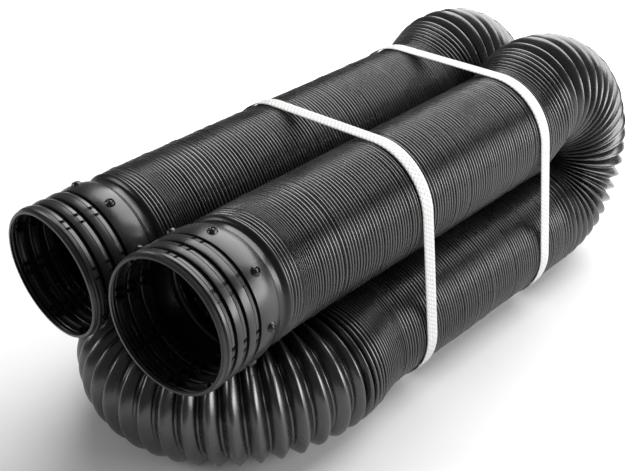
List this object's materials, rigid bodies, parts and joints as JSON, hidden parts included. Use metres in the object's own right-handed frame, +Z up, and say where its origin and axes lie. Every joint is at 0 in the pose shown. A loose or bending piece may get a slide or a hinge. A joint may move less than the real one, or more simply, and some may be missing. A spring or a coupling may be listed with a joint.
{
  "type": "collapsible drain hose bundle",
  "caption": "Collapsible corrugated waste and drain hose with a grooved coupler on each end, folded back on itself and held by straps.",
  "frame": {"origin": "on the floor, under the middle of the bundle's bounding box", "axes": "+Y along the runs, from the open couplers to the rear bends; +X to the right coupler's side; +Z up"},
  "size_m": [0.2852, 0.5868, 0.2371],
  "materials": {
    "hose": "black polypropylene, satin to gloss",
    "coupler": "black polypropylene, satin to gloss",
    "strap": "white embossed packing strap"
  },
  "bodies": {
    "bundle": {"upper_right_run": "hose", "rear_right_lead": "hose", "rear_left_lead": "hose", "front_right_lead": "hose", "front_left_lead": "hose", "rear_right_bend_top": "hose", "rear_right_bend_middle": "hose", "rear_right_bend_bottom": "hose", "lower_right_run": "hose", "front_bend_right": "hose", "front_bend_middle": "hose", "front_bend_left": "hose", "lower_left_run": "hose", "rear_left_bend_bottom": "hose", "rear_left_bend_middle": "hose", "rear_left_bend_top": "hose", "upper_left_run": "hose", "front_strap": "strap", "rear_strap": "strap", "right_lift_bellows": "hose", "left_lift_bellows": "hose"},
    "right_lift_ring": {"right_lift_ring": "hose", "right_swing_bellows": "hose"},
    "right_swing_ring": {"right_swing_ring": "hose", "right_pull_bellows": "hose"},
    "right_outlet": {"right_cuff": "hose", "right_coupler": "coupler"},
    "left_lift_ring": {"left_lift_ring": "hose", "left_swing_bellows": "hose"},
    "left_swing_ring": {"left_swing_ring": "hose", "left_pull_bellows": "hose"},
    "left_outlet": {"left_cuff": "hose", "left_coupler": "coupler"}
  },
  "joints": [
    {"name": "right_lift", "type": "hinge", "parent": "bundle", "child": "right_lift_ring", "pos_m": [0.06695, -0.07135, 0.2196], "axis": [-1, 0, 0], "range_deg": [0, 30], "deforming": ["right_lift_bellows"]},
    {"name": "right_swing", "type": "hinge", "parent": "right_lift_ring", "child": "right_swing_ring", "pos_m": [0.12095, -0.1102, 0.1656], "axis": [0, 0, 1], "range_deg": [0, 30], "deforming": ["right_swing_bellows"]},
    {"name": "right_pull", "type": "slide", "parent": "right_swing_ring", "child": "right_outlet", "axis": [0.1728, -0.9802, 0.0961], "range_m": [0, 0.15], "deforming": ["right_pull_bellows"]},
    {"name": "left_lift", "type": "hinge", "parent": "bundle", "child": "left_lift_ring", "pos_m": [-0.04777, -0.08226, 0.2196], "axis": [-1, 0, 0], "range_deg": [0, 30], "deforming": ["left_lift_bellows"]},
    {"name": "left_swing", "type": "hinge", "parent": "left_lift_ring", "child": "left_swing_ring", "pos_m": [-0.10234, -0.12111, 0.1656], "axis": [0, 0, -1], "range_deg": [0, 30], "deforming": ["left_swing_bellows"]},
    {"name": "left_pull", "type": "slide", "parent": "left_swing_ring", "child": "left_outlet", "axis": [0.0576, -0.9982, 0.0157], "range_m": [0, 0.15], "deforming": ["left_pull_bellows"]}
  ]
}
